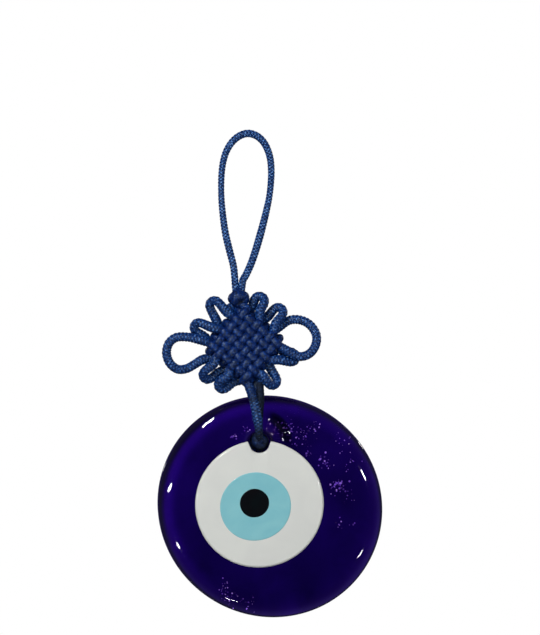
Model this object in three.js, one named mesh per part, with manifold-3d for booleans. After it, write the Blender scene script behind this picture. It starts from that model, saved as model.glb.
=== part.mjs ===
// Evil eye ornament: a pressed glass nazar, 81 mm across, that hangs from a knotted blue cord.
// Millimetres, +Z up. The origin is the underside of the hanging loop's top, where a hook or nail
// holds the ornament; the front of the glass faces -Y.
//
// The glass is four poured layers: cobalt disc, white eye, light blue iris and black pupil.
// One braided cord makes everything else. From the middle outwards it is tied into the hanging
// loop, a round button knot, a three-fold mystic knot (twelve woven passes, eight petals and two
// ears), two tails that run down the face of the glass, and a stopper knot that sits in the hole.

import * as THREE from 'three';
import { mergeVertices } from 'three/addons/utils/BufferGeometryUtils.js';
import Module from 'manifold-3d';

const wasm = await Module();
wasm.setup();

// ---- Driving dimensions ----

const cordDiameter = 2.4;           // where it is pulled tight
const slackCordDiameter = 3.0;      // in the petals and ears, where nothing pulls it
const wovenCordDiameter = 1.4;      // the core of the cord where the weave squeezes it
const clearance = 0.3;              // between pieces that touch on the real ornament

const buttonKnot = { x: -7.5, y: 0, z: -57.8, radius: 3.8 };

const knotCentre = { x: -6.1, y: 0, z: -75.2 };
const weavePitch = 3.2;             // between neighbouring passes of the weave
const passesPerWay = 6;
const faceDepth = 2.1;              // middle of the front and back weave from the knot's middle
const weaveRise = 0.9;              // how far a pass rises over, or dips under, the one it crosses
const petalTipRadius = 1.75;

const crossing = { x: -3.3, y: -0.6, z: -90.8, radius: 2.3 };
const tailSpacing = cordDiameter + clearance;
const tailDepth = -0.75;            // the tails' middle, just in front of the glass

const disc = { x: -0.2, z: -135.0, radius: 40.9, frontY: 0.8, thickness: 9.0 };
const discStretch = { by: 0.8, bearing: -Math.PI / 5 };  // the disc is pressed a little oval
const white = { x: -4.3, z: -133.5, radius: 23.3, depth: 1.8, proud: 1.2 };
const iris = { x: -5.9, z: -134.2, radius: 12.9, depth: 1.4, proud: 0.15 };
const pupil = { x: -6.2, z: -132.9, radius: 5.4, depth: 0.9, proud: 0.1 };
const hole = { x: -2.9, z: -111.0, radius: 3.7, mouthRadius: 5.2, mouthDepth: 1.5 };

const discBackY = disc.frontY + disc.thickness;
const whiteFrontY = disc.frontY - white.proud;
const irisFrontY = whiteFrontY - iris.proud;
const pupilFrontY = irisFrontY - pupil.proud;

// ---- Materials ----

const cordMaterial = () =>
  new THREE.MeshStandardMaterial({ color: 0x1f4f96, roughness: 0.6, metalness: 0 });
const glassMaterial = (color) =>
  new THREE.MeshStandardMaterial({ color, roughness: 0.08, metalness: 0 });

const ornament = new THREE.Group();

function addPiece(name, geometry, material) {
  const mesh = new THREE.Mesh(geometry, material);
  mesh.name = name;
  ornament.add(mesh);
}

// ---- Solids ----

// Through its points in straight runs, so that a tube gets one section at each point.
class Route extends THREE.Curve {
  constructor(points) {
    super();
    this.points = points;
  }
  getPoint(t) {
    const along = t * (this.points.length - 1);
    const i = Math.min(Math.floor(along), this.points.length - 2);
    return this.points[i].clone().lerp(this.points[i + 1], along - i);
  }
  getPointAt(u) {
    return this.getPoint(u);
  }
  getTangentAt(u) {
    const step = 0.5 / (this.points.length - 1);
    const before = this.getPoint(Math.max(0, u - step));
    return this.getPoint(Math.min(1, u + step)).sub(before).normalize();
  }
}

function tube(points, diameter, sides) {
  const corners = [];
  for (let i = 0; i < sides; i++) {
    const angle = (2 * Math.PI * i) / sides;
    corners.push(new THREE.Vector2(Math.cos(angle), Math.sin(angle)).multiplyScalar(diameter / 2));
  }
  return new THREE.ExtrudeGeometry(new THREE.Shape(corners), {
    steps: points.length - 1,
    bevelEnabled: false,
    extrudePath: new Route(points),
  });
}

function smoothTube(points, steps, diameter = cordDiameter) {
  const curve = new THREE.CatmullRomCurve3(points, false, 'centripetal');
  return tube(curve.getSpacedPoints(steps), diameter, 8);
}

// A solid turned about a line along Y through (x, z). The profile lists [radius, y] from the
// front pole to the back pole.
function turned(profile, x, z, slices) {
  const points = profile.map(([radius, y]) => new THREE.Vector2(radius, y));
  const geometry = new THREE.LatheGeometry(points, slices);
  geometry.translate(x, 0, z);
  return geometry;
}

function solid(geometry) {
  const bare = geometry.clone();
  bare.deleteAttribute('normal');
  bare.deleteAttribute('uv');
  const merged = mergeVertices(bare, 1e-4);
  return new wasm.Manifold(new wasm.Mesh({
    numProp: 3,
    vertProperties: new Float32Array(merged.attributes.position.array),
    triVerts: new Uint32Array(merged.index.array),
  }));
}

function cut(geometry, ...cutters) {
  let body = solid(geometry);
  for (const cutter of cutters) body = body.subtract(solid(cutter));
  const mesh = body.getMesh();
  const result = new THREE.BufferGeometry();
  result.setAttribute('position', new THREE.BufferAttribute(new Float32Array(mesh.vertProperties), 3));
  result.setIndex(new THREE.BufferAttribute(new Uint32Array(mesh.triVerts), 1));
  result.computeVertexNormals();
  return result;
}

// A plain round cutter from one depth to another.
function plug(x, z, radius, fromY, toY, slices) {
  return turned([[0, fromY], [radius, fromY], [radius, toY], [0, toY]], x, z, slices);
}

// ---- Glass ----

const shoulder = 4.2;               // the pressed edge rolls over from the face to the side
const backEdge = 2.2;
const overrun = 2;                  // a cutter's reach past the face that it cuts

function roundedLayer({ x, z, radius }, frontY, backY, edge, slices) {
  return turned([
    [0, frontY],
    [radius - edge, frontY],
    [radius - 0.3 * edge, frontY + 0.3 * edge],
    [radius, frontY + edge],
    [radius, backY],
    [0, backY],
  ], x, z, slices);
}

const holeCutter = turned([
  [0, disc.frontY - overrun],
  [hole.mouthRadius, disc.frontY - overrun],
  [hole.mouthRadius, disc.frontY],
  [hole.radius, disc.frontY + hole.mouthDepth],
  [hole.radius, discBackY + overrun],
  [0, discBackY + overrun],
], hole.x, hole.z, 24);

const discBlank = turned([
  [0, disc.frontY],
  [disc.radius - shoulder, disc.frontY],
  [disc.radius - 0.55 * shoulder, disc.frontY + 0.12 * shoulder],
  [disc.radius - 0.2 * shoulder, disc.frontY + 0.42 * shoulder],
  [disc.radius, disc.frontY + shoulder],
  [disc.radius, discBackY - backEdge],
  [disc.radius - 0.3 * backEdge, discBackY - 0.3 * backEdge],
  [disc.radius - backEdge, discBackY],
  [0, discBackY],
], disc.x, disc.z, 72);

// The bearing is measured from +X towards +Z.
discBlank.translate(-disc.x, 0, -disc.z);
discBlank.rotateY(discStretch.bearing);
discBlank.scale(1 + discStretch.by / disc.radius, 1, 1 - discStretch.by / disc.radius);
discBlank.rotateY(-discStretch.bearing);
discBlank.translate(disc.x, 0, disc.z);

const whiteFloorY = disc.frontY + white.depth;
const irisFloorY = whiteFrontY + iris.depth;
const pupilFloorY = irisFrontY + pupil.depth;

function recess({ x, z, radius }, floorY, slices) {
  return plug(x, z, radius + clearance, whiteFrontY - overrun, floorY, slices);
}

addPiece('cobalt_disc', cut(discBlank, recess(white, whiteFloorY, 56), holeCutter),
  glassMaterial(0x10045a));
addPiece('white_layer', cut(
  roundedLayer(white, whiteFrontY, whiteFloorY - clearance, 1.2, 56),
  recess(iris, irisFloorY, 44),
  plug(hole.x, hole.z, hole.radius + 0.5, whiteFrontY - overrun, whiteFloorY + overrun, 24),
), glassMaterial(0xcbcbc8));
addPiece('light_blue_layer', cut(
  roundedLayer(iris, irisFrontY, irisFloorY - clearance, 0.5, 44),
  recess(pupil, pupilFloorY, 28),
), glassMaterial(0x7cbac2));
addPiece('pupil', roundedLayer(pupil, pupilFrontY, pupilFloorY - clearance, 0.3, 28),
  glassMaterial(0x0c1012));

// ---- Hanging loop: one end of the button knot, up over the hook and back again ----

const loopRoute = [
  [-8.1, -53.5], [-8.1, -50.5], [-8.3, -46.4], [-9.4, -40.5], [-10.4, -34.6], [-10.9, -28.7],
  [-11.1, -22.5], [-10.9, -17], [-10.3, -11.5], [-9.4, -7.6], [-8.0, -4.2], [-5.8, -1.2],
  [-3.0, 0.8], [0, 1.5], [2.9, 0.6], [5.2, -1.5], [6.7, -4.4], [7.6, -8.2],
  [7.7, -12.4], [7.3, -16.6], [6.4, -21.8], [5.1, -26.6], [3.6, -31.4], [1.9, -36.4],
  [0.1, -41.3], [-1.8, -45.8], [-3.8, -49.6], [-5.2, -51.8], [-5.4, -53.5],
];
addPiece('hanging_loop', smoothTube(loopRoute.map(([x, z]) => new THREE.Vector3(x, 0, z)), 44),
  cordMaterial());

function ball({ x, y, z, radius }, slices, bands) {
  const profile = [];
  for (let i = 0; i <= bands; i++) {
    const angle = (Math.PI * i) / bands;
    const reach = i === 0 || i === bands ? 0 : radius * Math.sin(angle);
    profile.push([reach, y - radius * Math.cos(angle)]);
  }
  return turned(profile, x, z, slices);
}

addPiece('button_knot', ball(buttonKnot, 18, 10), cordMaterial());

// ---- Mystic knot ----
// Its four sides face up-right, down-right, down-left and up-left. On each side u runs clockwise
// along the side, w runs outwards from the knot's middle, and every side is the one before it
// turned by a quarter turn.

const sideNames = ['upper_right', 'lower_right', 'lower_left', 'upper_left'];
const quarterTurns = [
  (u, w) => [u, w],
  (u, w) => [w, -u],
  (u, w) => [-u, -w],
  (u, w) => [-w, u],
];

function onKnot(side, u, w, y) {
  const [a, b] = quarterTurns[side](u, w);
  return new THREE.Vector3(
    knotCentre.x + (a + b) * Math.SQRT1_2,
    knotCentre.y + y,
    knotCentre.z + (b - a) * Math.SQRT1_2,
  );
}

const edgePass = ((passesPerWay - 1) / 2) * weavePitch;  // the outermost pass from the middle
const freeEnd = edgePass + 2.1;                          // where a pass leaves the weave
const halfFlat = 0.5;                                    // half the level run at each crossing
const freePasses = [0, 2, 4].map((i) => i * weavePitch - edgePass);

// A pass of cord crosses the front of the knot, wraps round the far edge and comes back behind.
// It goes over the first pass that it meets, under the next, and so on, both front and back.
function wovenPass(side, u) {
  const level = (face, i) => face * faceDepth + (i % 2 === 0 ? -weaveRise : weaveRise);
  const points = [onKnot(side, u, freeEnd, -faceDepth)];
  for (let i = 0; i < passesPerWay; i++) {
    const w = edgePass - i * weavePitch;
    points.push(onKnot(side, u, w + halfFlat, level(-1, i)));
    points.push(onKnot(side, u, w - halfFlat, level(-1, i)));
  }
  points.push(onKnot(side, u, -edgePass - 1.6, -0.4));
  points.push(onKnot(side, u, -edgePass - 2.0, 0.9));
  points.push(onKnot(side, u, -edgePass - 1.6, 2.2));
  for (let i = passesPerWay - 1; i >= 0; i--) {
    const w = edgePass - i * weavePitch;
    points.push(onKnot(side, u, w - halfFlat, level(1, i)));
    points.push(onKnot(side, u, w + halfFlat, level(1, i)));
  }
  points.push(onKnot(side, u, freeEnd, faceDepth));
  return points;
}

// A pass that ends at a knot stops just short of its ball.
function stopShort(from, target) {
  const centre = new THREE.Vector3(target.x, target.y, target.z);
  const away = from.clone().sub(centre).normalize();
  return centre.addScaledVector(away, target.radius + 1.4 * clearance);
}

// From the back of a side's last free pass, out past the pass that wraps there, to a knot.
function leadOut(side, target) {
  const bend = onKnot(side, freePasses.at(-1) + 0.8, freeEnd + 2.2, 0.85 * faceDepth);
  return [bend, stopShort(bend, target)];
}

for (let side = 0; side < 4; side++) {
  freePasses.forEach((u, i) => {
    const points = wovenPass(side, u);
    const first = i === 0;
    const last = i === freePasses.length - 1;
    if (side === 0 && first) points.unshift(stopShort(points[0], buttonKnot));
    if (side === 1 && last) points.push(...leadOut(side, crossing));
    if (side === 2 && first) points.unshift(stopShort(points[0], crossing));
    if (side === 3 && last) points.push(...leadOut(side, buttonKnot));
    addPiece(`woven_pass_${sideNames[side]}_${i + 1}`, tube(points, wovenCordDiameter, 6),
      cordMaterial());
  });
}

// A petal leaves the back of one free pass, turns round its tip and enters the front of the next.
// Each side's two tips are [u, w] of the petal's far edge.
const petalTips = [
  [[-7.4, 18.8], [1.3, 20.4]],
  [[-9.5, 18.7], [4.0, 19.5]],
  [[-3.0, 19.3], [3.5, 20.3]],
  [[-7.0, 19.9], [4.4, 20.9]],
];
const petalFoot = freeEnd + clearance + 0.1;
const straight = 1.0;               // a loop leaves the weave straight, then bends

function petalRoute(side, index) {
  const foot = new THREE.Vector2(0, petalFoot);
  const [startU, endU] = [freePasses[index], freePasses[index + 1]];
  foot.x = (startU + endU) / 2;
  const edge = new THREE.Vector2(...petalTips[side][index]);
  const out = edge.clone().sub(foot);
  const length = out.length() - slackCordDiameter / 2;
  out.normalize();
  const across = new THREE.Vector2(out.y, -out.x);
  const at = (along, sideways, y) => onKnot(
    side,
    foot.x + out.x * along + across.x * sideways,
    foot.y + out.y * along + across.y * sideways,
    y,
  );
  const r = petalTipRadius;
  const turn = length - r;
  const diagonal = r * Math.SQRT1_2;
  return [
    onKnot(side, startU, petalFoot, faceDepth),
    onKnot(side, startU, petalFoot + straight, faceDepth),
    at(0.4 * turn, -1.15 * r, faceDepth),
    at(turn, -r, 1.7),
    at(turn + diagonal, -diagonal, 1.2),
    at(length, 0, 0.6),
    at(turn + diagonal, diagonal, -0.2),
    at(turn, r, -1.0),
    at(0.4 * turn, 1.15 * r, -0.9 * faceDepth),
    onKnot(side, endU, petalFoot + straight, -faceDepth),
    onKnot(side, endU, petalFoot, -faceDepth),
  ];
}

for (let side = 0; side < 4; side++) {
  for (let index = 0; index < 2; index++) {
    addPiece(`petal_${sideNames[side]}_${index + 1}`,
      smoothTube(petalRoute(side, index), 16, slackCordDiameter), cordMaterial());
  }
}

// The ears are the knot's two wide corner loops, [x, z, y] from the knot's middle, each from the
// back of one side round to the front of the next.
const rightEar = [
  [13.6, 6.0, 2.1], [17.0, 7.8, 1.8], [20.5, 7.8, 1.2], [24.0, 6.0, 0.5], [26.2, 2.4, -0.4],
  [26.1, -0.8, -1.2], [24.4, -3.8, -2.0], [22.0, -5.3, -2.5], [19.4, -5.5, -2.7],
  [16.3, -3.9, -2.5],
];
const leftEar = [
  [-15.6, -4.5, 2.1], [-18.6, -6.0, 1.8], [-21.5, -7.3, 1.2], [-24.8, -7.3, 0.5],
  [-27.5, -4.9, -0.2], [-28.5, -1.2, -0.8], [-27.4, 2.3, -1.4], [-24.8, 4.2, -1.8],
  [-21.0, 4.2, -2.1], [-17.0, 3.2, -2.2],
];

function earRoute(backSide, frontSide, middle) {
  return [
    onKnot(backSide, freePasses.at(-1), petalFoot, faceDepth),
    onKnot(backSide, freePasses.at(-1), petalFoot + straight, faceDepth),
    ...middle.map(([x, z, y]) => new THREE.Vector3(knotCentre.x + x, y, knotCentre.z + z)),
    onKnot(frontSide, freePasses[0], petalFoot + straight, -faceDepth),
    onKnot(frontSide, freePasses[0], petalFoot, -faceDepth),
  ];
}

addPiece('ear_right', smoothTube(earRoute(0, 1, rightEar), 26, slackCordDiameter), cordMaterial());
addPiece('ear_left', smoothTube(earRoute(2, 3, leftEar), 26, slackCordDiameter), cordMaterial());

// ---- Tails and stopper knot ----

addPiece('tail_crossing', ball(crossing, 14, 8), cordMaterial());

const tailMiddle = [
  [-3.1, -0.6, -93.7], [-2.9, tailDepth, -96.0], [-2.95, tailDepth, -99.2],
  [-3.0, tailDepth, -102.2], [-2.95, tailDepth, -105.2], [-2.9, -0.7, -107.0],
  [-2.9, -0.35, -108.3],
];
for (const [name, sign] of [['tail_left', -1], ['tail_right', 1]]) {
  const route = tailMiddle.map(([x, y, z]) => new THREE.Vector3(x + (sign * tailSpacing) / 2, y, z));
  addPiece(name, smoothTube(route, 10), cordMaterial());
}

// The stopper knot's ball shows in the hole, and its wider back can't be pulled through the glass.
const stopperRadius = hole.radius - 0.35;
const stopperBack = 4.9;
addPiece('stopper_knot', turned([
  [0, 1.6],
  [1.4, 1.8],
  [2.5, 2.5],
  [3.15, 3.5],
  [stopperRadius, 4.7],
  [stopperRadius, discBackY + clearance],
  [0.9 * stopperBack, discBackY + clearance],
  [stopperBack, discBackY + 1.4],
  [stopperBack, discBackY + 2.8],
  [0.8 * stopperBack, discBackY + 4.1],
  [0.45 * stopperBack, discBackY + 4.8],
  [0, discBackY + 5.0],
], hole.x, hole.z, 24), cordMaterial());

// The cord's two ends, cut and melted, hang behind the glass.
for (const [name, sign] of [['cut_end_left', -1], ['cut_end_right', 1]]) {
  const route = [[1.6, 12.4, -116.4], [2.0, 12.6, -118.4], [2.5, 12.6, -120.4], [3.1, 12.5, -122.2]];
  const points = route.map(([x, y, z]) => new THREE.Vector3(hole.x + sign * x, y, z));
  addPiece(name, smoothTube(points, 4), cordMaterial());
}

export default ornament;
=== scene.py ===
import math

import bpy
import numpy as np
from mathutils import Matrix, Vector


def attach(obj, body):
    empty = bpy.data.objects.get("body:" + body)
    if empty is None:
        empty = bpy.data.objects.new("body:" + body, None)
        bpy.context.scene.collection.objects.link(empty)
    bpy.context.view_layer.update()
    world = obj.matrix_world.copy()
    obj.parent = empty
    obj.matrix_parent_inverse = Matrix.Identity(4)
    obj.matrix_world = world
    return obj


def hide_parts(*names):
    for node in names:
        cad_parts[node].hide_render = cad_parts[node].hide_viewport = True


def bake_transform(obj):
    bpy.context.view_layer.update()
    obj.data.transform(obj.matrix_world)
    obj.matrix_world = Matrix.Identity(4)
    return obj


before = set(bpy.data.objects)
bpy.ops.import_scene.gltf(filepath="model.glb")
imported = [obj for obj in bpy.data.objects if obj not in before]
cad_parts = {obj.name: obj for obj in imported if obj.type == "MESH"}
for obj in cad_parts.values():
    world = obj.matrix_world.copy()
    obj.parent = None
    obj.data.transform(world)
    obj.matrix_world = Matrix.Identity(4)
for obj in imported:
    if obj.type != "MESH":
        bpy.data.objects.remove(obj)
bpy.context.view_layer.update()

# ---------------------------------------------------------------------------------------------
# The studio
# The ornament hangs in a white light tent with a pale floor, seen straight on and a touch from
# the left. Four broad soft lamps light it without a mirror image, and eight small bare ones give
# only gloss: the cord's satin and the short glints on the glass.
# ---------------------------------------------------------------------------------------------

MM = 0.001
scene = bpy.context.scene
scene.view_settings.view_transform = "Standard"

view_centre = Vector((3.8, 0.0, -65.9)) * MM
view_height = 231.3 * MM
camera_distance = 0.70
camera_left = math.radians(4.0)      # the camera stands a little to the ornament's left
camera_roll = math.radians(3.67)     # and is held slightly turned

camera_data = bpy.data.cameras.new("camera")
camera_data.sensor_fit = "VERTICAL"
camera_data.angle = 2 * math.atan(view_height / 2 / camera_distance)
camera_data.clip_start = 0.01
camera = bpy.data.objects.new("camera", camera_data)
scene.collection.objects.link(camera)
forward = Vector((math.sin(camera_left), math.cos(camera_left), 0))
level_right = forward.cross(Vector((0, 0, 1)))
right = level_right * math.cos(camera_roll) - Vector((0, 0, 1)) * math.sin(camera_roll)
up = right.cross(forward)
camera.matrix_world = Matrix.Translation(view_centre - forward * camera_distance) @ Matrix(
    (right, up, -forward)).transposed().to_4x4()
scene.camera = camera


def linear(hex_colour):
    """An sRGB hex colour as the linear red, green, blue and alpha that sockets take."""
    parts = np.array([int(hex_colour[i:i + 2], 16) / 255 for i in (1, 3, 5)])
    parts = np.where(parts <= 0.04045, parts / 12.92, ((parts + 0.055) / 1.055) ** 2.4)
    return (*parts.tolist(), 1.0)


def add(tree, kind, settings=None, links=None, stops=()):
    """Adds one node. A setting is a socket's value or a property; a link is the socket it reads.

    Stops are a ramp's pairs of a position and a hex colour.
    """
    made = tree.nodes.new(kind)
    for key, value in (settings or {}).items():
        if isinstance(key, int) or key in made.inputs:
            made.inputs[key].default_value = value
        else:
            setattr(made, key, value)
    for key, source in (links or {}).items():
        tree.links.new(source, made.inputs[key])
    for number, (position, hex_colour) in enumerate(stops):
        elements = made.color_ramp.elements
        stop = elements[number] if number < 2 else elements.new(position)
        stop.position = position
        stop.color = linear(hex_colour)
    return made


def empty_material(name):
    """A material with an output node only, and that node."""
    material = bpy.data.materials.new(name)
    material.use_nodes = True
    material.node_tree.nodes.clear()
    return material, add(material.node_tree, "ShaderNodeOutputMaterial")


def grid_faces(rows, columns, rows_join):
    """Quads that join neighbours on a grid whose last column joins the first, and end fans.

    The last row joins the first too, or each end row gets a fan of triangles to a middle point.
    """
    index = np.arange(rows * columns).reshape(rows, columns)
    lower = index if rows_join else index[:-1]
    upper = np.roll(index, -1, 0) if rows_join else index[1:]
    quads = np.stack(
        [lower, np.roll(lower, -1, 1), np.roll(upper, -1, 1), upper], -1).reshape(-1, 4)
    fans = np.zeros((0, 3), int)
    if not rows_join:
        first, last = rows * columns, rows * columns + 1
        fans = np.vstack([
            np.stack([np.full(columns, first), np.roll(index[0], -1), index[0]], -1),
            np.stack([np.full(columns, last), index[-1], np.roll(index[-1], -1)], -1)])
    return quads, fans


def shell(name, points, rows_join=False, uv_mm=None, attributes=None, material=None):
    """A closed surface from a grid of points, rows by columns, in millimetres.

    The last column joins the first. The end rows join each other too, or each closes on its own
    middle point. If the shell's signed volume is negative, the faces are turned round, so that
    they point outwards.
    """
    rows, columns = points.shape[:2]
    quads, fans = grid_faces(rows, columns, rows_join)
    vertices = points.reshape(-1, 3)
    if not rows_join:
        vertices = np.vstack([vertices, points[0].mean(0), points[-1].mean(0)])
    halves = np.vstack([quads[:, [0, 1, 2]], quads[:, [0, 2, 3]], fans])
    a, b, c = (vertices[halves[:, i]] - vertices[0] for i in range(3))
    flip = np.einsum("ij,ij->i", a, np.cross(b, c)).sum() < 0
    if flip:
        quads, fans = quads[:, ::-1], fans[:, ::-1]
    mesh = bpy.data.meshes.new(name)
    mesh.from_pydata((vertices * MM).tolist(), [], quads.tolist() + fans.tolist())
    mesh.shade_smooth()
    if uv_mm is not None:
        along, around = uv_mm
        u = np.stack([along[:-1], along[:-1], along[1:], along[1:]], -1)[:, None, :]
        j = np.arange(columns)
        v = np.stack([j, j + 1, j + 1, j], -1)[None] * (around / columns)
        corners = np.stack(np.broadcast_arrays(u, v), -1).reshape(-1, 4, 2)
        if flip:
            corners = corners[:, ::-1]
        flat = np.concatenate([corners.reshape(-1, 2), np.zeros((fans.size, 2))])
        mesh.uv_layers.new(name="UVMap").data.foreach_set("uv", flat.astype(np.float32).ravel())
    for key, values in (attributes or {}).items():
        spread = np.full(len(vertices), values.flat[-1], np.float32)
        spread[:values.size] = values.ravel()
        mesh.attributes.new(key, "FLOAT", "POINT").data.foreach_set("value", spread)
    piece = bpy.data.objects.new(name, mesh)
    scene.collection.objects.link(piece)
    if material:
        mesh.materials.append(material)
    return piece


def facing_room(tree, coordinates, stops):
    """Brightness by how nearly a direction runs along the ornament's own front-to-back line."""
    place = add(tree, "ShaderNodeTexCoord")
    unit = add(tree, "ShaderNodeVectorMath", {"operation": "NORMALIZE"},
               {0: place.outputs[coordinates]})
    split = add(tree, "ShaderNodeSeparateXYZ", links={0: unit.outputs[0]})
    square_on = add(tree, "ShaderNodeMath", {"operation": "ABSOLUTE"}, {0: split.outputs["Y"]})
    shown = add(tree, "ShaderNodeValToRGB", links={"Fac": square_on.outputs[0]}, stops=stops)
    return shown.outputs["Color"]


tent_radius = 3000.0
floor_depth = 450.0       # from the top of the loop down to the floor
backing_radius = 3100.0   # just outside the tent


def tent_shell(name, radius, depth):
    """A sphere round the ornament, cut level at its floor: radius times cosine and sine."""
    azimuths = np.linspace(0, 2 * np.pi, 96, endpoint=False)
    heights = np.linspace(-0.49, 0.49, 48)[:, None] * np.pi
    points = np.stack(np.broadcast_arrays(
        radius * np.cos(heights) * np.cos(azimuths), radius * np.cos(heights) * np.sin(azimuths),
        np.maximum(radius * np.sin(heights), -depth)), -1)
    material, output = empty_material(name + "_cloth")
    material.cycles.emission_sampling = "NONE"
    tent = shell(name, points, material=material)
    tent.visible_diffuse = tent.visible_glossy = tent.visible_shadow = False
    tent.visible_volume_scatter = False
    return tent, material.node_tree, output


tent, tree, output = tent_shell("light_tent_and_floor", tent_radius, floor_depth)
tent.visible_transmission = False
glow = add(tree, "ShaderNodeEmission", {"Color": linear("#ffffff"), "Strength": 1.0})
tree.links.new(glow.outputs[0], output.inputs["Surface"])

# What shines through the glass: brightest straight behind, dim a little to the side, where the
# rolled rim bends the view, and bright again further round.
backing, tree, output = tent_shell("backing_cloth", backing_radius, backing_radius)
backing.visible_camera = False
cloth = facing_room(tree, "Object", [
    (0.72, "#f4f4f4"), (0.80, "#8a8a8a"), (0.93, "#8a8a8a"), (0.97, "#ffffff")])
glow = add(tree, "ShaderNodeEmission", {"Strength": 1.0}, {"Color": cloth})
tree.links.new(glow.outputs[0], output.inputs["Surface"])

# The glass mirrors the room in front of it, which is almost dark round the camera.
world = bpy.data.worlds.new("dim_room")
world.use_nodes = True
tree = world.node_tree
room = facing_room(tree, "Generated", [(0.35, "#5c5e68"), (0.72, "#26262e"), (0.92, "#0a0a0e")])
tree.links.new(room, tree.nodes["Background"].inputs["Color"])
scene.world = world


def lamp(name, place, wide, high, power, mirrored):
    """An oval area lamp that faces the ornament. It gives either soft light or gloss, not both."""
    data = bpy.data.lights.new(name, "AREA")
    data.shape = "ELLIPSE"
    data.size = wide
    data.size_y = high
    data.energy = power
    made = bpy.data.objects.new(name, data)
    scene.collection.objects.link(made)
    place = Vector(place)
    facing = (Vector((0, 0, -0.1)) - place).to_track_quat("-Z", "Y").to_matrix()
    made.matrix_world = Matrix.Translation(place) @ facing.to_4x4()
    made.visible_camera = made.visible_transmission = False
    made.visible_glossy = mirrored
    made.visible_diffuse = not mirrored


# name, place in metres, width, height, watts, and whether it gives gloss
for settings in (
    ("key_cloth", (-0.75, -0.9, 0.75), 0.45, 0.45, 16.0, False),
    ("fill_cloth", (0.95, -0.95, 0.1), 0.9, 0.9, 4.2, False),
    ("front_cloth", (0.1, -1.3, -0.35), 0.9, 0.9, 5.8, False),
    ("back_cloth", (0.4, 1.3, 0.4), 0.9, 0.9, 9.0, False),
    ("satin_lamp", (-0.45, -1.1, 0.6), 0.16, 0.16, 7.0, True),
    ("back_strip_left", (-1.0, 0.9, 0.2), 0.12, 0.12, 1.2, True),
    ("back_strip_right", (1.1, 0.6, 0.35), 0.12, 0.12, 1.2, True),
    ("bare_lamp_left", (-0.52, -0.88, -0.10), 0.16, 0.04, 1.4, True),
    ("bare_lamp_low_left", (-0.42, -0.88, -0.42), 0.07, 0.03, 0.5, True),
    ("bare_lamp_right", (0.50, -0.88, -0.10), 0.06, 0.03, 0.4, True),
    ("bare_lamp_low_right", (0.44, -0.86, -0.45), 0.07, 0.03, 0.5, True),
    ("bare_lamp_below", (-0.22, -0.76, -0.76), 0.10, 0.02, 0.4, True),
):
    lamp(*settings)

# ---------------------------------------------------------------------------------------------
# The cord and its hanging loop
# One length of braided nylon knotting cord, 2.4 mm thick and dyed royal blue: two sets of four
# yarns cross over and under each other round a soft core. Its middle makes the hanging loop,
# whose two legs run side by side into the button knot.
# ---------------------------------------------------------------------------------------------

tight_radius = 1.22       # where the cord is pulled, and
slack_radius = 1.6        # where nothing pulls it and the braid opens up
yarns = 4                 # each way round
stitch = 1.2              # along the cord, from one yarn to the next
yarn_relief = 0.26        # share of the radius between a yarn's crown and the gap beside it
braid_middle = 0.62       # the braid's mean height, which keeps the cord's own radius
cord_sides = 32
cord_step = 0.17


def smooth(x):
    """0 below 0, 1 above 1, and an S curve between."""
    x = np.clip(x, 0, 1)
    return x * x * (3 - 2 * x)


def even_line(dense, step):
    """The same line with its points at even distances along it."""
    along = np.concatenate([[0], np.cumsum(np.linalg.norm(np.diff(dense, axis=0), axis=1))])
    stations = np.linspace(0, along[-1], max(8, round(along[-1] / step)) + 1)
    return np.stack([np.interp(stations, along, dense[:, i]) for i in range(3)], -1)


def smooth_line(points):
    """A centripetal Catmull-Rom curve through the points, sampled at even steps of its length."""
    p = np.asarray(points, float)
    p = np.vstack([2 * p[0] - p[1], p, 2 * p[-1] - p[-2]])
    gaps = np.sqrt(np.linalg.norm(np.diff(p, axis=0), axis=1))
    knots = np.concatenate([[0], np.cumsum(gaps)])
    k = [knots[i:len(knots) - 3 + i, None, None] for i in range(4)]
    q = [p[i:len(p) - 3 + i, None, :] for i in range(4)]
    t = k[1] + (k[2] - k[1]) * np.linspace(0, 1, 24, endpoint=False)[None, :, None]

    def between(low, high, from_k, to_k):
        return (low * (to_k - t) + high * (t - from_k)) / (to_k - from_k)

    a = [between(q[i], q[i + 1], k[i], k[i + 1]) for i in range(3)]
    b = [between(a[i], a[i + 1], k[i], k[i + 2]) for i in range(2)]
    dense = np.vstack([between(b[0], b[1], k[1], k[2]).reshape(-1, 3), p[-2:-1]])
    return even_line(dense, cord_step)


def braid(turn, along):
    """Height of the braid, 0 to 1, at a turn round the cord and a distance along it.

    Yarn numbers grow with the turn, less the distance over the stitch for one set and plus it for
    the other. A yarn's middle line is a cosine that goes over every second yarn of the other set,
    its section is a half ellipse, and the higher of the two yarns is what shows.
    """
    a, b = yarns * turn - along / stitch, yarns * turn + along / stitch
    i, j = np.floor(a), np.floor(b)
    over_a = np.cos(np.pi * (b - 0.5)) * (-1.0) ** i
    over_b = -np.cos(np.pi * (a - 0.5)) * (-1.0) ** j
    top_a = 0.45 * over_a + 0.55 * np.sqrt(np.clip(1 - (2 * (a - i) - 1) ** 2, 0, 1))
    top_b = 0.45 * over_b + 0.55 * np.sqrt(np.clip(1 - (2 * (b - j) - 1) ** 2, 0, 1))
    return np.clip(np.maximum(top_a, top_b), 0, 1)


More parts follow.
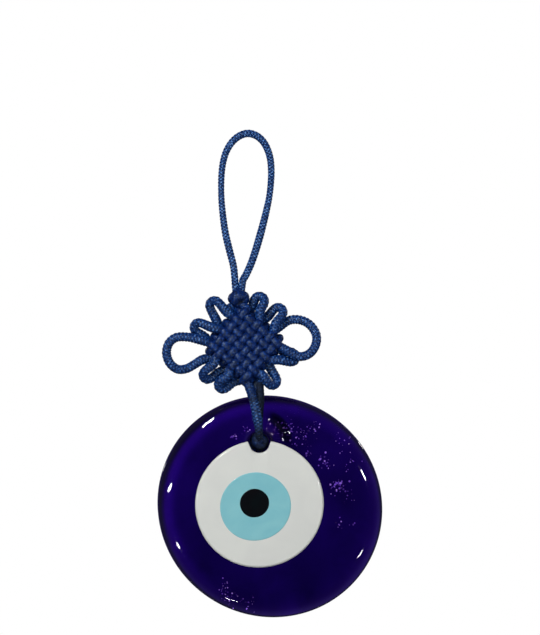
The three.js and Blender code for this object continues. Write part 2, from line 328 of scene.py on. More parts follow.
def cord_piece(name, line, material, radius=tight_radius, squeeze=0.0, slack=0.0, painted_shade=None,
               closed=False):
    """A braided cord carried along a line of even steps, as a closed tube.

    Each section is a circle in the plane across the line. A direction carried from section to
    section, always laid flat on the next plane, keeps the tube from twisting. The braid moves
    each point in or out, most where the cord is slack. Where the cord is squeezed, its depth
    along Y shrinks and its width grows. Painted shade says how much darker a point's colour is
    painted where its neighbours shade it.
    """
    tangent = np.gradient(line, axis=0)
    if closed:
        tangent = np.roll(line, -1, 0) - np.roll(line, 1, 0)
    tangent /= np.linalg.norm(tangent, axis=1)[:, None]
    side = np.zeros_like(line)
    carried = np.cross(tangent[0], (0.13, 0.97, 0.21))
    for station, direction in enumerate(tangent):
        carried = carried - carried @ direction * direction
        carried /= np.linalg.norm(carried)
        side[station] = carried
    other = np.cross(tangent, side)
    length = np.linalg.norm(np.diff(line, axis=0), axis=1).sum()
    along = np.linspace(0, length, len(line))
    turn = np.arange(cord_sides) / cord_sides
    twist = np.zeros(len(line))
    if closed:
        gap = np.arctan2(side[-1] @ other[0], side[-1] @ side[0])
        twist = -gap * along / length
    angle = 2 * np.pi * turn[None, :] + twist[:, None]
    height = braid(turn[None, :], along[:, None])
    open_braid = np.broadcast_to(slack, len(line))[:, None]
    reach = np.broadcast_to(radius, len(line))[:, None] * (
        1 + yarn_relief * (0.2 + 0.8 * open_braid) * (height - braid_middle))
    offset = reach[..., None] * (np.cos(angle)[..., None] * side[:, None]
                                 + np.sin(angle)[..., None] * other[:, None])
    pressed = np.broadcast_to(squeeze, len(line))[:, None, None]
    offset = offset * (1 + pressed * np.array([0.22, -0.20, 0.22]))
    points = line[:, None] + offset
    piece = shell(name, points, rows_join=closed, material=material,
                  uv_mm=None if closed else (along, 2 * np.pi * tight_radius),
                  attributes={
                      "relief": braid_middle + (height - braid_middle) * (0.25 + 0.75 * open_braid),
                      "slack": open_braid + 0 * height,
                      "painted_shade": painted_shade(points) if painted_shade else 0 * height})
    return piece


# Dyed nylon filament: smooth fibres give a satin gloss. Its colour holds painted light and shade:
# small pale painted glints on each yarn's crown, painted shade, almost navy, in the gaps between
# the yarns and where neighbouring strands shade the cord, and a lighter painted colour where the
# cord is slack. The grain stands for bundles of fibre about 0.4 mm wide, coarser than the real
# ones so that it shows.
nylon, output = empty_material("royal_blue_braided_nylon")
tree = nylon.node_tree
relief, slack, painted_shade = (add(tree, "ShaderNodeAttribute", {"attribute_name": key}).outputs["Fac"]
                         for key in ("relief", "slack", "painted_shade"))
place = add(tree, "ShaderNodeTexCoord")
fibre = add(tree, "ShaderNodeTexNoise", {"Scale": 1300.0, "Detail": 3.0, "Roughness": 0.7},
            {"Vector": place.outputs["Object"]})
lifted = add(tree, "ShaderNodeMath", {"operation": "MULTIPLY_ADD", 1: 1.5, 2: -0.80},
             {0: fibre.outputs["Fac"]})
crown = add(tree, "ShaderNodeMath", {"operation": "ADD"}, {0: relief, 1: lifted.outputs[0]})
# Painted shade in the gaps between the yarns and painted glints on their crowns; the second ramp,
# for slack cord, is painted lighter.
pulled = add(tree, "ShaderNodeValToRGB", links={"Fac": crown.outputs[0]}, stops=[
    (0.15, "#000216"), (0.5, "#021440"), (0.75, "#06286c"), (1.0, "#2a5aa8")])
loose = add(tree, "ShaderNodeValToRGB", links={"Fac": crown.outputs[0]}, stops=[
    (0.15, "#000620"), (0.5, "#041e4c"), (0.8, "#0e3a7a"), (1.0, "#5c8ac8")])
dye_and_painted_light = add(tree, "ShaderNodeMix", {"data_type": "RGBA"},
          {0: slack, 6: pulled.outputs["Color"], 7: loose.outputs["Color"]})
# Painted shade: the colour is darker where neighbouring strands shade the cord.
shade = add(tree, "ShaderNodeValToRGB", links={"Fac": painted_shade},
            stops=[(0.0, "#ffffff"), (0.5, "#6c7080"), (1.0, "#101428")])
body = add(tree, "ShaderNodeMix", {"data_type": "RGBA", "blend_type": "MULTIPLY", 0: 1.0},
           {6: dye_and_painted_light.outputs[2], 7: shade.outputs["Color"]})
gloss = add(tree, "ShaderNodeMapRange",
            {"From Min": 0.35, "From Max": 0.65, "To Min": 0.44, "To Max": 0.26},
            {"Value": fibre.outputs["Fac"]})
rough = add(tree, "ShaderNodeMath", {"operation": "MULTIPLY_ADD", 1: 0.5, "use_clamp": True},
            {0: painted_shade, 2: gloss.outputs[0]})
bump = add(tree, "ShaderNodeBump", {"Strength": 0.7, "Distance": 0.0002},
           {"Height": fibre.outputs["Fac"]})
surface = add(tree, "ShaderNodeBsdfPrincipled",
              {"IOR": 1.53, "Specular IOR Level": 0.5, "Specular Tint": (0.6, 0.8, 1.0, 1.0)},
              {"Base Color": body.outputs[2], "Roughness": rough.outputs[0],
               "Normal": bump.outputs[0]})
tree.links.new(surface.outputs[0], output.inputs["Surface"])

loop_route = np.array([
    (-7.7, -57.0), (-8.0, -55.4), (-8.1, -53.5), (-8.1, -50.5), (-8.3, -46.4), (-9.4, -40.5),
    (-10.4, -34.6), (-10.9, -28.7), (-11.1, -22.5), (-10.9, -17.0), (-10.3, -11.5), (-9.4, -7.6),
    (-8.0, -4.2),
    (-5.8, -1.2), (-3.0, 0.8), (0.0, 1.5), (2.9, 0.6), (5.2, -1.5), (6.7, -4.4), (7.6, -8.2),
    (7.7, -12.4), (7.3, -16.6), (6.4, -21.8), (5.1, -26.6), (3.6, -31.4), (1.9, -36.4),
    (0.1, -41.3), (-1.8, -45.8), (-3.8, -49.6), (-5.2, -51.8), (-5.6, -53.5), (-6.0, -55.4),
    (-6.6, -57.0)])
loop_line = smooth_line(np.insert(loop_route, 1, 0.0, axis=1))
share = np.linspace(0, 1, len(loop_line))
# Handling has left the cord a little thicker and thinner along the loop.
handled = np.interp(share, (0, 0.15, 0.3, 0.42, 0.5, 0.62, 0.7, 0.82, 1),
                    (1.22, 1.28, 1.08, 1.22, 1.32, 1.2, 1.12, 1.36, 1.28))
loop = cord_piece("hanging_loop_cord", loop_line, nylon, radius=handled, slack=1.0)
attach(loop, "loop")
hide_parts("hanging_loop")

# ---------------------------------------------------------------------------------------------
# The button knot
# Both legs are tied into a round knot that keeps the loop closed. It is pulled up hard, so the
# cord lies in a tight woven ball, 8 mm across, with no gap through its middle.
# ---------------------------------------------------------------------------------------------


def woven_ball(centre, radius, leads, bights, tilt, weave, stretch=(1, 1, 1), sway=1.05):
    """The middle line of a cord woven round a ball, as in a sailor's Turk's head.

    Longitude grows evenly and goes round once for each lead. Latitude is a sine with one wave for
    each bight. The distance from the middle is a sine with a wave for each crossing, so that the
    cord goes over and under itself by turns.
    """
    t = np.linspace(0, 2 * np.pi, 1200)
    longitude, latitude = leads * t, sway * np.sin(bights * t)
    reach = radius + weave * np.sin((leads - 1) * bights * t)
    ball = reach[:, None] * np.stack([
        np.cos(latitude) * np.cos(longitude), np.cos(latitude) * np.sin(longitude),
        np.sin(latitude)], -1)
    turn = np.array([[np.cos(tilt), 0, np.sin(tilt)], [0, 1, 0], [-np.sin(tilt), 0, np.cos(tilt)]])
    return even_line((ball @ turn.T) * stretch + centre, cord_step)[:-1]


def inside_ball(centre, radius):
    """Painted shade as a function of points: 0 at the ball's skin and 1 well inside it."""
    return lambda points: smooth((radius - np.linalg.norm(points - centre, axis=-1)) / 1.5)


button_centre = np.array([-7.5, 0.0, -58.3])
button_reach = 2.15        # from the ball's middle to the cord's middle line
button_cord_radius = 1.85
button_skin = 3.8
button_line = woven_ball(button_centre, button_reach, leads=2, bights=3, tilt=0.9, weave=0.45,
                         stretch=(1.05, 1, 0.9), sway=0.95)
button = cord_piece("button_knot_ball", button_line, nylon, radius=button_cord_radius,
                    painted_shade=inside_ball(button_centre, button_skin), closed=True)
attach(button, "crown")
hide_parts("button_knot")

# ---------------------------------------------------------------------------------------------
# The mystic knot
# The same cord is woven into a square that hangs on one corner. Each pass crosses the front,
# wraps round the far edge and comes back behind, over one and under the next, and the loops
# between passes are drawn out as eight petals and two wide ears. No glue: the weave grips itself.
# ---------------------------------------------------------------------------------------------

knot_centre = np.array([-6.1, 0.0, -75.2])
pitch = 3.2
edge = 2.5 * pitch                # the outermost pass from the knot's middle
free_end = edge + 2.1
face_depth = 2.1
rise = 1.15                       # of a pass over its neighbour
core_radius = 1.33                # of the cord squeezed inside the weave
free_passes = (-edge, -edge + 2 * pitch, -edge + 4 * pitch)


def on_knot(side, u, w, y):
    """u runs clockwise along a side and w out from the middle; each side is a quarter turn on."""
    u, w, y = np.broadcast_arrays(np.asarray(u, float), w, y)
    a, b = ((u, w), (w, -u), (-u, -w), (-w, u))[side % 4]
    return np.stack([(a + b) * math.sqrt(0.5), y, (b - a) * math.sqrt(0.5)], -1) + knot_centre


def woven_pass(side, u):
    """Front, far edge and back of one pass: a wave over and under, and a half ellipse.

    The wave is a cosine whose crests the hyperbolic tangent flattens, as a pulled weave does.
    """
    w = np.linspace(free_end, -edge, 34)
    wave = np.tanh(1.8 * np.cos(np.pi * (edge - w) / pitch)) / np.tanh(1.8)
    wave = np.where(w > edge, np.maximum(wave, 0), wave)
    round_edge = np.radians([-60, -30, 0, 30, 60])
    return np.vstack([
        on_knot(side, u, w, -face_depth - rise * wave),
        on_knot(side, u, -edge - 2.2 * np.cos(round_edge), rise + face_depth * np.sin(round_edge)),
        on_knot(side, u, w, face_depth - rise * wave)[::-1]])


petal_tips = (((-7.4, 18.8), (1.3, 20.4)), ((-9.5, 18.7), (4.0, 19.5)),
              ((-3.0, 19.3), (3.5, 20.3)), ((-7.0, 19.9), (4.4, 20.9)))
petal_feet = ((0.9, 1.1), (1.0, 1.15), (0.95, 1.15), (1.25, 1.35))     # shares of a leg's offset
petal_leg = 1.75                  # from a petal's middle line to each leg's
petal_depths = np.array([2.1, 1.7, 1.2, 0.6, -0.2, -1.0, -1.9])


def petal(side, number):
    """A hairpin out to its tip: two legs a cord's width apart, joined by half a circle."""
    foot = np.array([(free_passes[number] + free_passes[number + 1]) / 2, free_end + 0.4])
    out = np.array(petal_tips[side % 4][number]) - foot
    length = np.hypot(*out) - slack_radius
    out /= np.hypot(*out)
    feet = petal_leg * petal_feet[side % 4][number]
    slant = petal_leg * math.sqrt(0.5)
    turn = length - petal_leg
    along = np.array([0.35 * turn, turn, turn + slant, length, turn + slant, turn, 0.35 * turn])
    across = np.array([-feet, -petal_leg, -slant, 0, slant, petal_leg, feet])
    return on_knot(side, foot[0] + out[0] * along + out[1] * across,
                   foot[1] + out[1] * along - out[0] * across, petal_depths)


right_ear = ((13.6, 2.1, 6.0), (17.0, 1.8, 7.8), (20.5, 1.2, 7.8), (24.0, 0.5, 6.0),
             (26.2, -0.4, 2.4), (26.1, -1.2, -0.8), (24.4, -2.0, -3.8), (22.0, -2.5, -5.3),
             (19.4, -2.7, -5.5),
             (16.3, -2.5, -3.9))
left_ear = ((-15.6, 2.1, -4.5), (-18.6, 1.8, -6.0), (-21.5, 1.2, -7.3), (-24.8, 0.5, -7.3),
            (-27.5, -0.2, -4.9), (-28.5, -0.8, -1.2), (-27.4, -1.4, 2.3), (-24.8, -1.8, 4.2),
            (-21.0, -2.1, 4.2), (-17.0, -2.2, 3.2))


def side_of_knot(side):
    """Three passes with the two petals between them."""
    return np.vstack([woven_pass(side, free_passes[0]), petal(side, 0),
                      woven_pass(side, free_passes[1]), petal(side, 1),
                      woven_pass(side, free_passes[2])])


def knot_half(first_side, ear, start, end):
    """From one knot, through two sides of the weave and the ear between them, to the other.

    Also how far each station is inside the weave, from 0 to 1, by its distance from the middle.
    """
    bend = on_knot(first_side + 1, free_passes[2] + 0.8, free_end + 2.2, 0.85 * face_depth)
    line = smooth_line(np.vstack([start, side_of_knot(first_side), knot_centre + ear,
                                  side_of_knot(first_side + 1), bend, end]))
    a, b = line[:, 0] - knot_centre[0], line[:, 2] - knot_centre[2]
    from_middle = np.maximum(abs(a - b), abs(a + b)) * math.sqrt(0.5)
    return line, from_middle, smooth((free_end + 1.4 - from_middle) / 2.0)


def among_strands(points):
    """Painted shade inside the weave: 0 on the crowns at its two faces and on its rim, 1 between
    them.
    """
    a, b = points[..., 0] - knot_centre[0], points[..., 2] - knot_centre[2]
    from_middle = np.maximum(abs(a - b), abs(a + b)) * math.sqrt(0.5)
    return smooth((4.0 - abs(points[..., 1])) / 2.1) * smooth((edge + 1.6 - from_middle) / 1.2)


crossing_centre = np.array([-3.3, -0.6, -90.8])
sides = ("upper_right", "lower_right", "lower_left", "upper_left")
for first_side, name, ear, start, end in (
    (0, "mystic_knot_right_half", right_ear, button_centre + (0.6, -0.3, -1.4),
     [crossing_centre + (1.7, 0.4, 0.8)]),
    (2, "mystic_knot_left_half", left_ear,
     [crossing_centre + (-2.1, -0.6, 0.8), crossing_centre + (-4.0, -1.3, 2.6)],
     button_centre + (-0.6, 0.3, -1.4)),
):
    line, from_middle, inside = knot_half(first_side, ear, start, end)
    swelling = 0.14 * np.sin(np.pi * smooth((from_middle - 9.5) / 8.0))
    half = cord_piece(name, line, nylon,
                      radius=slack_radius + (core_radius - slack_radius) * inside + swelling,
                      squeeze=0.8 * inside, slack=0.7 * (1 - inside), painted_shade=among_strands)
    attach(half, "knot")
    own_sides = sides[first_side:first_side + 2]
    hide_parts(*(f"woven_pass_{side}_{n}" for side in own_sides for n in (1, 2, 3)),
                *(f"petal_{side}_{n}" for side in own_sides for n in (1, 2)),
                "ear_right" if first_side == 0 else "ear_left")

# ---------------------------------------------------------------------------------------------
# The crossing, the tails and the stopper knot
# Below the weave the cord's two ends cross, run down the glass one over the other and go through
# its hole. A hard knot sits in the hole, a bigger one behind it holds the glass, and the two ends
# are cut and melted so that they can't fray.
# ---------------------------------------------------------------------------------------------

# shaded is painted shadow: how much darker a strand's colour is painted where the cord beside it
# shades it.
for name, radius, shaded, route in (     # shaded: how dark the cord beside it makes a strand
    ("crossing_left", 1.7, 0.1,
     ((-5.7, -1.2, -89.4), (-5.4, -1.2, -90.8), (-4.9, -1.1, -92.4), (-4.4, -0.9, -94.4))),
    ("crossing_right", 1.5, 0.7,
     ((-1.6, -0.3, -89.2), (-1.6, -0.3, -90.8), (-1.6, -0.4, -92.6), (-1.6, -0.4, -94.4))),
    ("crossing_behind", 1.4, 0.4,
     ((-2.2, 0.2, -89.2), (-3.0, 0.2, -90.6), (-3.5, 0.3, -92.4), (-3.6, 0.4, -94.2)))):
    piece = cord_piece(name, smooth_line(route), nylon, radius=radius, slack=0.4 * (1 - shaded),
                       painted_shade=lambda points: shaded + 0 * points[..., 0])
    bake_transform(piece)
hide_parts("tail_crossing")

# The number after each name is shaded: painted shadow that darkens the strand's colour and also
# makes it a little thinner.
tail_routes = (
    ("tail_left", 0.1,
     ((-4.4, -0.9, -93.6), (-4.1, -1.3, -96.0), (-3.6, -1.8, -99.0), (-3.25, -2.0, -102.0),
      (-3.05, -1.9, -105.0), (-2.9, -1.1, -107.2), (-2.9, 0.9, -108.9), (-2.9, 2.6, -110.0))),
    ("tail_right", 0.8,
     ((-1.6, -0.4, -93.6), (-1.7, -0.4, -96.0), (-2.2, -0.4, -99.0), (-2.65, -0.35, -102.0),
      (-2.75, -0.1, -105.0), (-2.9, 0.9, -107.3), (-2.9, 2.4, -109.0), (-2.9, 3.8, -110.4))))
for name, shaded, route in tail_routes:
    line = smooth_line(route)
    # Each tail is also painted darker under the weave and in the hole, by its height: painted
    # shade.
    dark = np.interp(line[:, 2], (-108, -105, -101, -98, -95), (0.7, 0.3, 0.0, 0.0, 0.5))[:, None]
    width = np.interp(line[:, 2], (-107, -104.5, -102, -97, -94), (1.4, 1.5, 1.75, 1.6, 1.6))
    tail = cord_piece(name + "_cord", line, nylon, radius=width - 0.2 * shaded, slack=1.0 - shaded,
                      painted_shade=lambda points: np.maximum(dark, shaded) + 0 * points[..., 0])
    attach(tail, "tails")
    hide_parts(name)

hole_centre = np.array([-2.9, 0.0, -111.0])
ball_line = woven_ball(hole_centre + (0, 4.2, 0), 1.9, leads=2, bights=3, tilt=0.4, weave=0.35,
                       sway=0.85)
# The stopper ball's colour is painted darker the further back it lies in the hole: painted shade.
stopper_ball = cord_piece(
    "stopper_ball", ball_line, nylon, radius=1.65, closed=True,
    painted_shade=lambda points: 0.35 + 0.4 * smooth((points[..., 1] - 1.4) / 1.6))
back_line = woven_ball(hole_centre + (0, 11.7, 0), 3.5, leads=3, bights=4, tilt=0.2, weave=0.4,
                       stretch=(1, 0.5, 1))
stopper_back = cord_piece("stopper_back_knot", back_line, nylon, closed=True)
for knot in (stopper_ball, stopper_back):
    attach(knot, "tails")
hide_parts("stopper_knot")

for sign, name in ((-1, "cut_end_left"), (1, "cut_end_right")):
    line = smooth_line(hole_centre + [
        (sign * 0.9, 12.0, -2.6), (sign * 1.6, 12.4, -5.4), (sign * 2.0, 12.6, -7.4),
        (sign * 2.5, 12.6, -9.4), (sign * 3.1, 12.5, -11.2)])
    cut = cord_piece(name + "_cord", line, nylon)
    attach(cut, "tails")
    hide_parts(name)

# ---------------------------------------------------------------------------------------------
# The cobalt disc
# Molten cobalt glass, poured and pressed flat by hand, about 82 mm across and 9 mm thick. A rod
# pushed through near the top leaves the hole in a drawn-in, rippled mouth, the rim rolls over
# softly, and bubbles of air stay trapped just under the face.
# ---------------------------------------------------------------------------------------------

disc_centre = np.array([-0.2, -135.0])
disc_radius, oval, oval_bearing = 40.9, 0.8, math.radians(-36)
front_y, back_y = 0.8, 9.8
rim_start, rim_depth = 33.0, 3.6     # where the face starts to roll over, and how far it falls
back_roll = 2.2
hole = hole_centre[[0, 2]]
hole_radius = 3.7
front_mouth = 1.7                    # how far the mouth draws in at the front,
back_mouth = 0.5                     # and at the back


def outline(angle):
    """The pressed rim: a circle that is a little wider along one line and narrower across it."""
    return disc_radius + oval * np.cos(2 * (angle - oval_bearing))


def rim_fall(reach):
    """How far the face has fallen back at a distance from the middle: a quarter of an ellipse."""
    part = np.clip((reach - rim_start) / (disc_radius - rim_start), 0, 1)
    return rim_depth * (1 - np.sqrt(1 - part ** 2))


def face_height(x, z):
    """How far a point of the pressed face stands back from flat, apart from the rim's fall.

    Low waves of a few hundredths; a mouth that draws in at the hole; and beside it, up and to the
    right, a curved ridge with a dent inside it, each a bell curve of the distance from the hole.
    """
    away, bearing = np.hypot(x - hole[0], z - hole[1]), np.arctan2(z - hole[1], x - hole[0])
    waves = 0.05 * np.sin(0.21 * x + 0.9) * np.cos(0.17 * z) + 0.03 * np.sin(0.47 * x - 0.33 * z)
    mouth = front_mouth * np.clip(1 - (away - hole_radius) / 3.0, 0, 1) ** 2
    beside = np.exp(-((bearing - 0.62) / 0.72) ** 2)
    return waves + mouth + beside * (0.75 * np.exp(-((away - 7.6) / 1.5) ** 2)
                                     - 0.5 * np.exp(-((away - 10.6) / 1.2) ** 2))


def disc_points():
    """Rings that grow from the hole's circle to the rim's, out over the front and back behind.

    Between the two, a ring's middle and radius both go evenly from the hole's to the rim's.
    """
    angle = np.linspace(0, 2 * np.pi, 320, endpoint=False)
    share = np.concatenate([np.linspace(0, 0.25, 36)[:-1], np.linspace(0.25, 0.8, 40)[:-1],
                            1 - 0.2 * (1 - np.linspace(0, 1, 46)) ** 2])[:, None]

    def ring(share, reach):
        middle = hole + (disc_centre - hole) * share[..., None]
        radius = hole_radius + (reach - hole_radius) * share
        return middle[..., 0] + radius * np.cos(angle), middle[..., 1] + radius * np.sin(angle)

    x, z = ring(share, outline(angle))
    grown = np.hypot(x - disc_centre[0], z - disc_centre[1]) * disc_radius / outline(
        np.arctan2(z - disc_centre[1], x - disc_centre[0]))
    still = smooth((40 - grown) / 6)     # the face's waves die out towards the rim
    front = np.stack([x, front_y + rim_fall(grown) + face_height(x, z) * still, z], -1)
    roll = np.linspace(0, np.pi / 2, 9)[:, None]
    rim = outline(angle) - back_roll * (1 - np.cos(roll))
    rim_back = np.stack(np.broadcast_arrays(
        disc_centre[0] + rim * np.cos(angle), back_y - back_roll * (1 - np.sin(roll)),
        disc_centre[1] + rim * np.sin(angle)), -1)
    share = np.linspace(1, 0, 50)[1:, None]
    x, z = ring(share, outline(angle) - back_roll)
    from_hole = np.hypot(x - hole[0], z - hole[1]) - hole_radius
    back = np.stack([x, back_y - back_mouth * (1 - smooth(from_hole / 2)), z], -1)
    depth = np.linspace(back_y - back_mouth, front_y + front_mouth, 9)[1:-1, None]
    wall = np.stack(np.broadcast_arrays(
        hole[0] + hole_radius * np.cos(angle), depth, hole[1] + hole_radius * np.sin(angle)), -1)
    return np.vstack([front, rim_back, back, wall])


def paint_glass_light_and_tone(points):
    """How bright the glass is painted, 0 to 1: painted light and shade, with clouds of tone.

    A painted brighter ring stands a few millimetres inside the rim, strongest up and to the left,
    where the edge outside it is painted dark as painted shade. A painted dark crescent lies in the
    dent beside the hole, with a painted lighter band outside it, and a painted lighter band runs
    just inside the rim away from the upper left. The top is brighter than the foot, and slow sines
    make clouds.
    the edge outside it is dark. The top is brighter than the foot, and slow sines make clouds.
    """
    x, z = points[..., 0] - disc_centre[0], points[..., 2] - disc_centre[1]
    reach = np.hypot(x, z) * disc_radius / outline(np.arctan2(z, x))
    up_left = smooth(0.5 + 0.5 * (0.75 * z - 0.66 * x) / np.maximum(reach, 1))
    # Painted light on a ring inside the rim, and painted shade on the edge up and to the left.
    ring = np.exp(-((reach - 36.4) / 1.7) ** 2)
    dark = smooth((reach - 38.3) / 0.5) * smooth((up_left - 0.75) / 0.2)
    clouds = (np.sin(0.16 * x + 0.8 * np.sin(0.11 * z))
              * np.sin(0.13 * z + 0.9 * np.sin(0.09 * x) + 1.0))
    away = np.hypot(points[..., 0] - hole[0], points[..., 2] - hole[1])
    bearing = np.arctan2(points[..., 2] - hole[1], points[..., 0] - hole[0])
    # Painted shade in the dent beside the hole, and painted light just outside it.
    dent = np.exp(-((bearing - 0.5) / 0.55) ** 4) * (
        0.16 * np.exp(-((away - 12.8) / 1.3) ** 2) - 0.8 * np.exp(-((away - 10.2) / 1.3) ** 2))
    return np.clip(0.44 + dent + 0.07 * z / 40 + 0.10 * clouds + 0.48 * ring * up_left ** 2
                   + 0.10 * smooth((reach - 37) / 3) * (1 - up_left) - 0.26 * dark, 0.08, 1.0)


# Cobalt blue soda-lime glass: clear, but so strongly coloured that 9 mm of it looks almost black
# in the middle, and violet where the rolled rim makes it thin. The surface is fire polished.
cobalt, output = empty_material("cobalt_blue_soda_lime_glass")
tree = cobalt.node_tree
# The tint lays the glass's painted light and shade, with its clouds of tone, on what shines
# through.
clear = add(tree, "ShaderNodeAttribute", {"attribute_name": "glass_tone_and_painted_light"})
place = add(tree, "ShaderNodeTexCoord")
batch = add(tree, "ShaderNodeTexNoise",
            {"Scale": 75.0, "Detail": 4.0, "Roughness": 0.6, "Distortion": 0.6},
            {"Vector": place.outputs["Object"]})
uneven = add(tree, "ShaderNodeMapRange",
             {"From Min": 0.32, "From Max": 0.68, "To Min": 0.72, "To Max": 1.22},
             {"Value": batch.outputs["Fac"]})
mottled = add(tree, "ShaderNodeMath", {"operation": "MULTIPLY"},
              {0: clear.outputs["Fac"], 1: uneven.outputs[0]})
tint = add(tree, "ShaderNodeValToRGB", links={"Fac": mottled.outputs[0]},
           stops=[(0.0, "#000000"), (1.0, "#ffffff")])
ripples = add(tree, "ShaderNodeTexNoise", {"Scale": 120.0, "Detail": 2.0},
              {"Vector": place.outputs["Object"]})
bump = add(tree, "ShaderNodeBump", {"Strength": 0.04, "Distance": 0.0005},
           {"Height": ripples.outputs["Fac"]})
surface = add(tree, "ShaderNodeBsdfPrincipled",
              {"IOR": 1.52, "Roughness": 0.03, "Transmission Weight": 1.0},
              {"Base Color": tint.outputs["Color"], "Normal": bump.outputs[0]})
soaked = add(tree, "ShaderNodeVolumeAbsorption",
             {"Color": (0.37, 0.06, 0.72, 1.0), "Density": 800.0})
tree.links.new(surface.outputs[0], output.inputs["Surface"])
tree.links.new(soaked.outputs[0], output.inputs["Volume"])

points = disc_points()
disc = shell("cobalt_glass_disc", points, rows_join=True, material=cobalt,
             attributes={"glass_tone_and_painted_light": paint_glass_light_and_tone(points)})
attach(disc, "glass")
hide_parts("cobalt_disc")

bubble_groups = (       # x, z, how far they scatter, how many, largest radius
    (8.5, -106.5, 3.5, 24, 0.24), (13.0, -110.0, 3.8, 40, 0.28), (17.5, -107.5, 2.6, 20, 0.24),
    (14.8, -116.5, 1.2, 9, 0.34), (20.8, -119.8, 2.2, 20, 0.36), (25.6, -128.5, 3.2, 40, 0.32),
    (25.4, -128.0, 1.0, 9, 0.36), (29.0, -134.0, 2.4, 9, 0.24), (24.6, -143.0, 1.6, 8, 0.32),
    (29.2, -143.2, 0.9, 5, 0.28), (-11.3, -108.2, 1.6, 12, 0.24), (-7.5, -105.6, 1.6, 10, 0.22),
    (-16.5, -167.0, 3.6, 26, 0.20), (-10.5, -170.0, 2.4, 16, 0.22), (-19.5, -162.0, 2.6, 16, 0.22),
    (28.0, -112.0, 3.5, 16, 0.18), (3.0, -106.0, 2.0, 10, 0.22), (30.0, -120.0, 3.0, 12, 0.18))

bubble_rings = 5
bubble_sides = 8


def bubble_points():
    """A ball of five rings for each bubble: centre plus radius times cosines and sines."""
    draw = np.random.default_rng(7)
    middles, radii = [], []
    for x, z, scatter, count, largest in bubble_groups:
        at = np.stack([draw.normal(x, scatter * 0.6, count), draw.uniform(1.5, 2.6, count),
                       draw.normal(z, scatter * 0.6, count)], -1)
        middles.append(at)
        radii.append(1.25 * largest * draw.uniform(0.35, 1.0, count) ** 1.5)
    middles, radii = np.vstack(middles), np.concatenate(radii)
    heights = np.linspace(-0.4, 0.4, bubble_rings)[:, None] * np.pi
    turns = np.linspace(0, 2 * np.pi, bubble_sides, endpoint=False)
    ball = np.stack(np.broadcast_arrays(
        np.cos(heights) * np.cos(turns), np.cos(heights) * np.sin(turns), np.sin(heights)), -1)
    poles = np.array([[0, 0, -1.0], [0, 0, 1.0]])
    return middles[:, None] + radii[:, None, None] * np.vstack([ball.reshape(-1, 3), poles])[None]


# Trapped air: the glass round it turns back nearly all the light that meets a bubble's wall, so
# each bubble looks like a bead of silver. It has a silvery wall, and a glow of its own that stands
# in for the light which the curved face of the glass gathers on it.
air, output = empty_material("trapped_air_bubble_wall")
tree = air.node_tree
sparkle = add(tree, "ShaderNodeAttribute", {"attribute_name": "sparkle"})
# Each bubble's sparkle picks its wall colour and its painted glow, from dim to bright: painted
# light.
silver_and_painted_glow = add(tree, "ShaderNodeValToRGB", links={"Fac": sparkle.outputs["Fac"]},
             stops=[(0.2, "#2c1f52"), (0.7, "#8a60d8"), (1.0, "#d8b8ff")])
surface = add(tree, "ShaderNodeBsdfPrincipled",
              {"Metallic": 1.0, "Roughness": 0.35, "Emission Strength": 1.0},
              {"Base Color": silver_and_painted_glow.outputs["Color"], "Emission Color": silver_and_painted_glow.outputs["Color"]})
tree.links.new(surface.outputs[0], output.inputs["Surface"])
clusters = bubble_points()
quads, fans = grid_faces(bubble_rings, bubble_sides, rows_join=False)
start = (np.arange(len(clusters)) * clusters.shape[1])[:, None, None]
mesh = bpy.data.meshes.new("trapped_bubbles")
every_quad = (quads[None] + start).reshape(-1, 4).tolist()
every_fan = (fans[None] + start).reshape(-1, 3).tolist()
mesh.from_pydata((clusters.reshape(-1, 3) * MM).tolist(), [], every_quad + every_fan)
mesh.shade_smooth()
mesh.materials.append(air)
sparkles = np.random.default_rng(11).uniform(0.2, 1.0, len(clusters))
mesh.attributes.new("sparkle", "FLOAT", "POINT").data.foreach_set(
    "value", np.repeat(sparkles, clusters.shape[1]).astype(np.float32))
bubbles = bpy.data.objects.new("trapped_bubbles", mesh)
scene.collection.objects.link(bubbles)
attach(bubbles, "glass")

# ---------------------------------------------------------------------------------------------
# The eye
# Opal white, light blue and black glass, dropped one on another while hot and pressed in. Each
# spreads to a slightly uneven round, and surface tension leaves its edge rounded.
# ---------------------------------------------------------------------------------------------


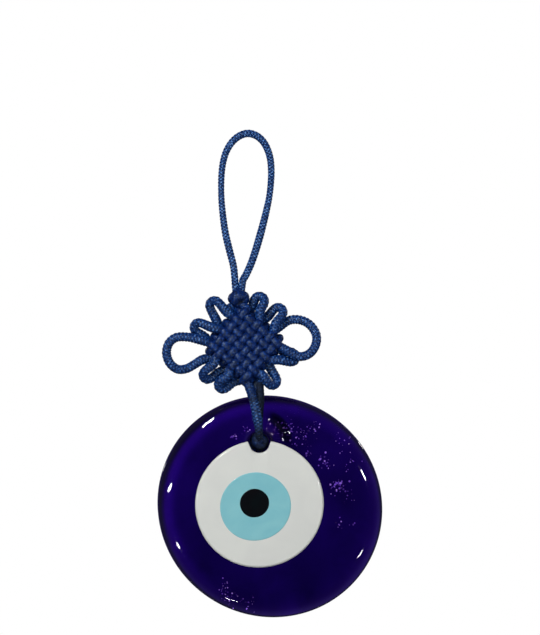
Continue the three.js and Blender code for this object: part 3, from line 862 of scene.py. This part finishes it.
def layer_points(centre, radii, front, back, lip, crown, uneven, notch=None):
    """Rings about a middle: a low domed top, an edge rounded in a quarter circle, and a flat back.

    The outline is an ellipse whose radius wavers by a few sines of the angle. A notch takes away
    what lies inside a circle on the outline. The dome falls with the fourth power of the reach.
    """
    angle = np.linspace(0, 2 * np.pi, 360, endpoint=False)
    reach = np.hypot(radii[0] * np.cos(angle), radii[1] * np.sin(angle))
    wavers = np.sin(2 * angle + 0.6) + 0.6 * np.sin(3 * angle + 2.0) + 0.4 * np.sin(5 * angle)
    reach = reach + uneven * wavers
    if notch is not None:
        offset = np.array(notch[:2]) - centre
        away, bearing = np.hypot(*offset), math.atan2(offset[1], offset[0])
        swing = (angle - bearing + np.pi) % (2 * np.pi) - np.pi
        inside = np.clip(notch[2] ** 2 - (away * np.sin(swing)) ** 2, 0, None)
        entry = away * np.cos(swing) - np.sqrt(inside)
        hit = smooth((math.asin(notch[2] / away) * 1.04 - abs(swing)) / 0.02)
        reach = np.minimum(reach, reach + (entry - reach) * hit)
    share = np.linspace(0.02, 1, 30)[:, None]
    flat = reach - lip
    top = np.stack(np.broadcast_arrays(
        flat * share * np.cos(angle), front + crown * share ** 4, flat * share * np.sin(angle)), -1)
    roll = np.linspace(0, np.pi / 2, 9)[1:, None]
    turned = np.stack(np.broadcast_arrays(
        (flat + lip * np.sin(roll)) * np.cos(angle), front + crown + lip * (1 - np.cos(roll)),
        (flat + lip * np.sin(roll)) * np.sin(angle)), -1)
    under = np.array([1.0, 0.98, 0.5, 0.02])[:, None]
    floor = np.stack(np.broadcast_arrays(
        reach * under * np.cos(angle), back, reach * under * np.sin(angle)), -1)
    return np.vstack([top, turned, floor]) + (centre[0], 0, centre[1])


def opaque_glass(name, hex_colour, streak_hex, scale, roughness):
    """Solid-coloured fused glass: faint streaks in its body under a fire-polished skin."""
    material, output = empty_material(name)
    tree = material.node_tree
    place = add(tree, "ShaderNodeTexCoord")
    streaks = add(tree, "ShaderNodeTexNoise", {"Scale": scale, "Detail": 3.0, "Distortion": 1.0},
                  {"Vector": place.outputs["Object"]})
    body = add(tree, "ShaderNodeValToRGB", links={"Fac": streaks.outputs["Fac"]},
               stops=[(0.3, streak_hex), (0.65, hex_colour)])
    ripples = add(tree, "ShaderNodeTexNoise", {"Scale": 90.0, "Detail": 1.0},
                  {"Vector": place.outputs["Object"]})
    bump = add(tree, "ShaderNodeBump", {"Strength": 0.1, "Distance": 0.0004},
               {"Height": ripples.outputs["Fac"]})
    surface = add(tree, "ShaderNodeBsdfPrincipled", {"IOR": 1.52, "Roughness": roughness},
                  {"Base Color": body.outputs["Color"], "Normal": bump.outputs[0]})
    tree.links.new(surface.outputs[0], output.inputs["Surface"])
    return material


notch_radius = 3.9        # the white gives way to the hole's mouth
# piece, node, slot, middle, radii, front, back, rounding of the edge, rise of the dome,
# waver of the outline, glass
eye_layers = (
    ("opal_white_layer", "white_layer", "white_glass", (-4.3, -133.5), (23.5, 23.2),
     -0.40, 2.4, 1.0, 0.45, 0.05,
     opaque_glass("opal_white_glass", "#d9dbd5", "#d4d6d1", 60.0, 0.10)),
    ("light_blue_iris", "light_blue_layer", "light_blue_glass", (-5.9, -134.2), (12.95, 12.5),
     -0.55, 0.9, 0.35, 0.05, 0.08,
     opaque_glass("light_blue_glass", "#86c3ca", "#7dbcc6", 110.0, 0.06)),
    ("black_pupil", "pupil", "black_glass", (-6.2, -132.9), (5.4, 5.3),
     -0.65, 0.3, 0.25, 0.03, 0.04,
     opaque_glass("black_glass", "#0b1114", "#0e0c10", 120.0, 0.06)))
for name, node_name, slot, centre, radii, front, back, lip, crown, uneven, material in eye_layers:
    notch = (*hole, notch_radius) if node_name == "white_layer" else None
    points = layer_points(centre, radii, front, back, lip, crown, uneven, notch)
    layer = shell(name, points, material=material)
    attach(layer, "glass")
    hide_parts(node_name)
